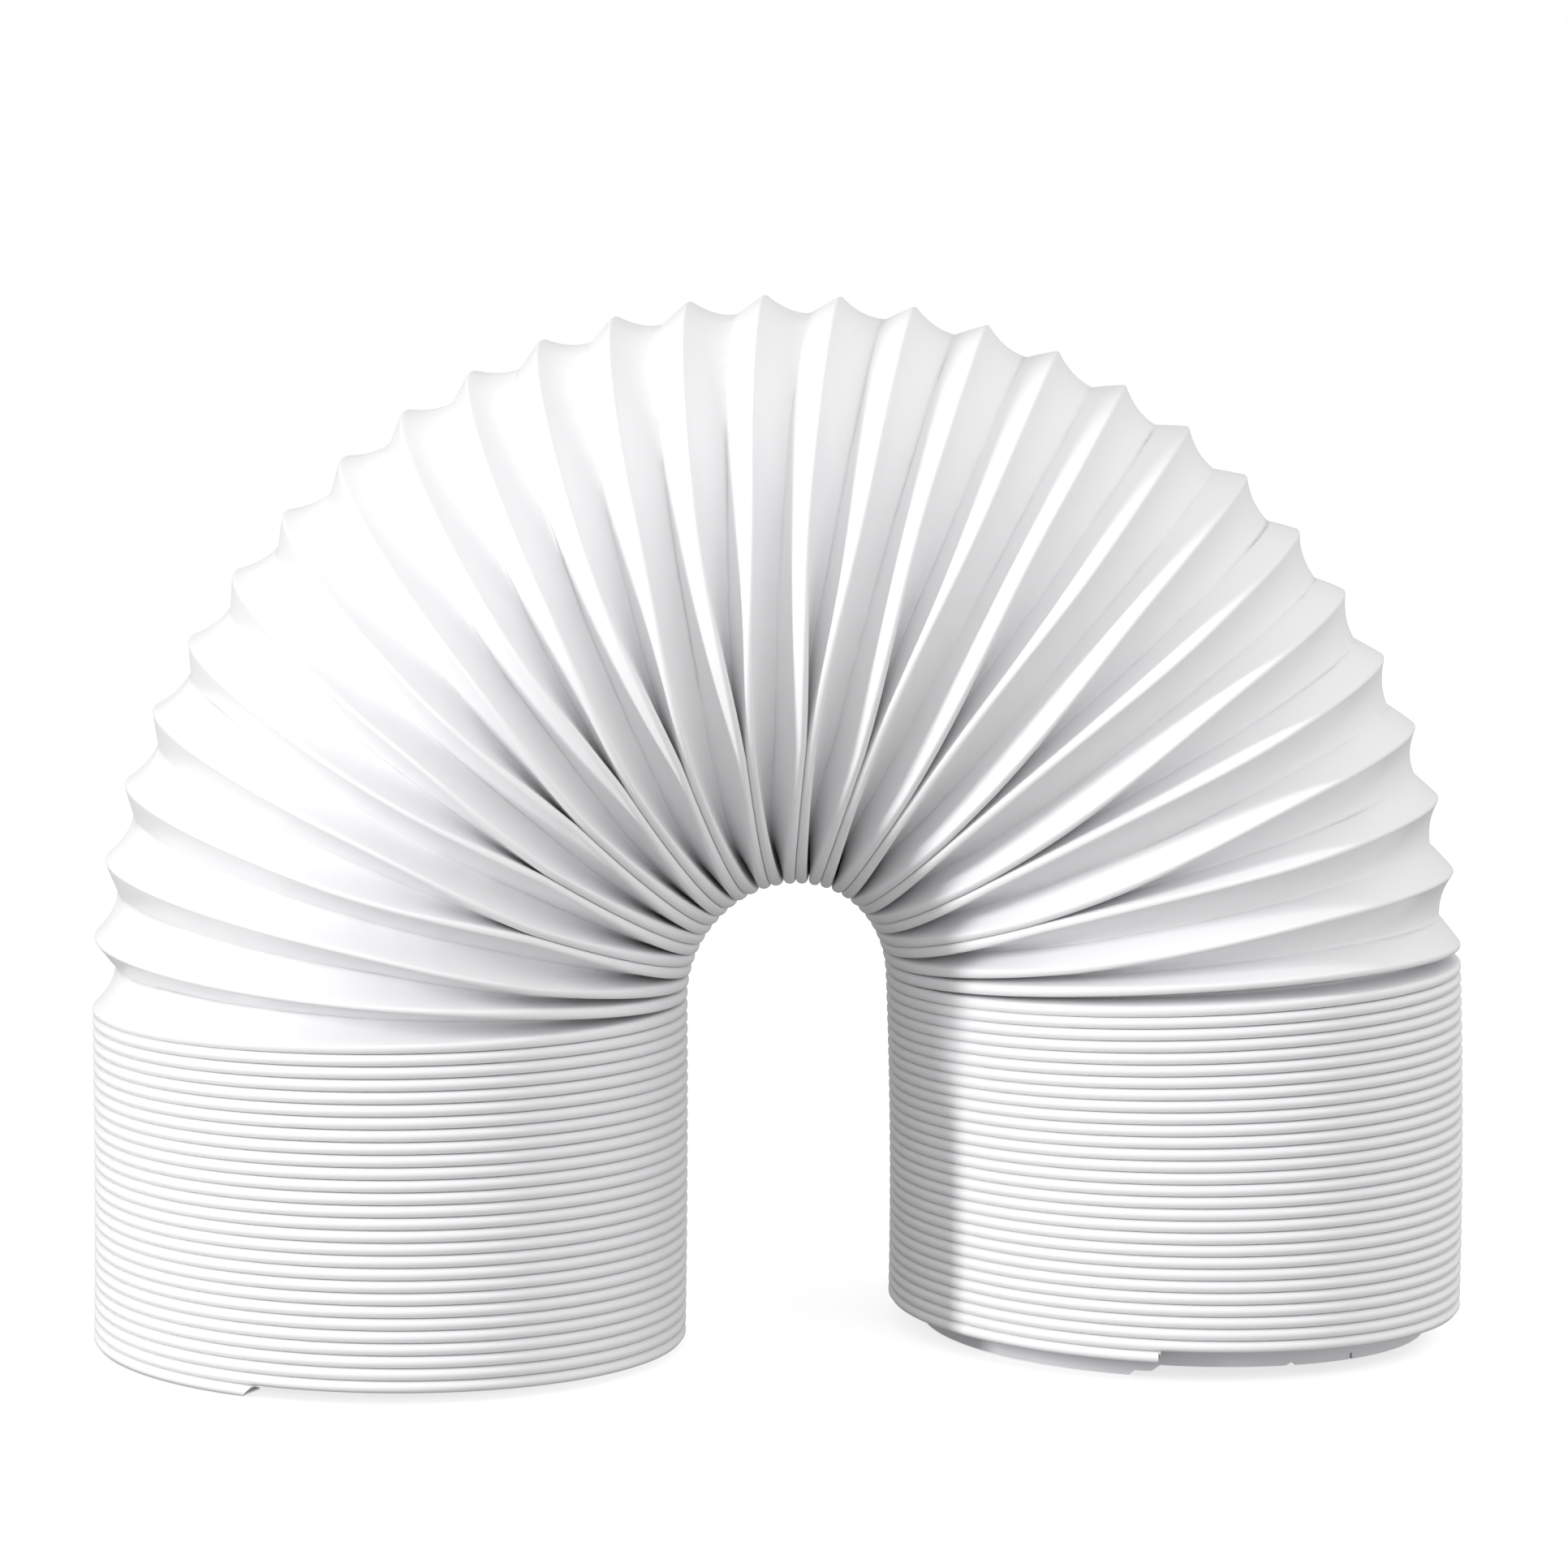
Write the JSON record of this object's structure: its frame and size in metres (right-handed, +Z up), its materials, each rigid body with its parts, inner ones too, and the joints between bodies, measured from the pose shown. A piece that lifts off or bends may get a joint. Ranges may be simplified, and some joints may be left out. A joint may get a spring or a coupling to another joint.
{
  "type": "air conditioner exhaust hose",
  "caption": "White pleated exhaust hose for a portable air conditioner, spiral-wound from one plastic strip, standing as an arch.",
  "frame": {"origin": "centre of the bounding box's bottom, on the floor between the two ends", "axes": "+X from the left end to the right end, +Y away from the viewer, through the gap, +Z up"},
  "size_m": [0.3574, 0.15, 0.2669],
  "materials": {
    "hose_plastic": "gloss"
  },
  "bodies": {
    "root": {"spiral_hose": "hose_plastic"}
  },
  "joints": []
}
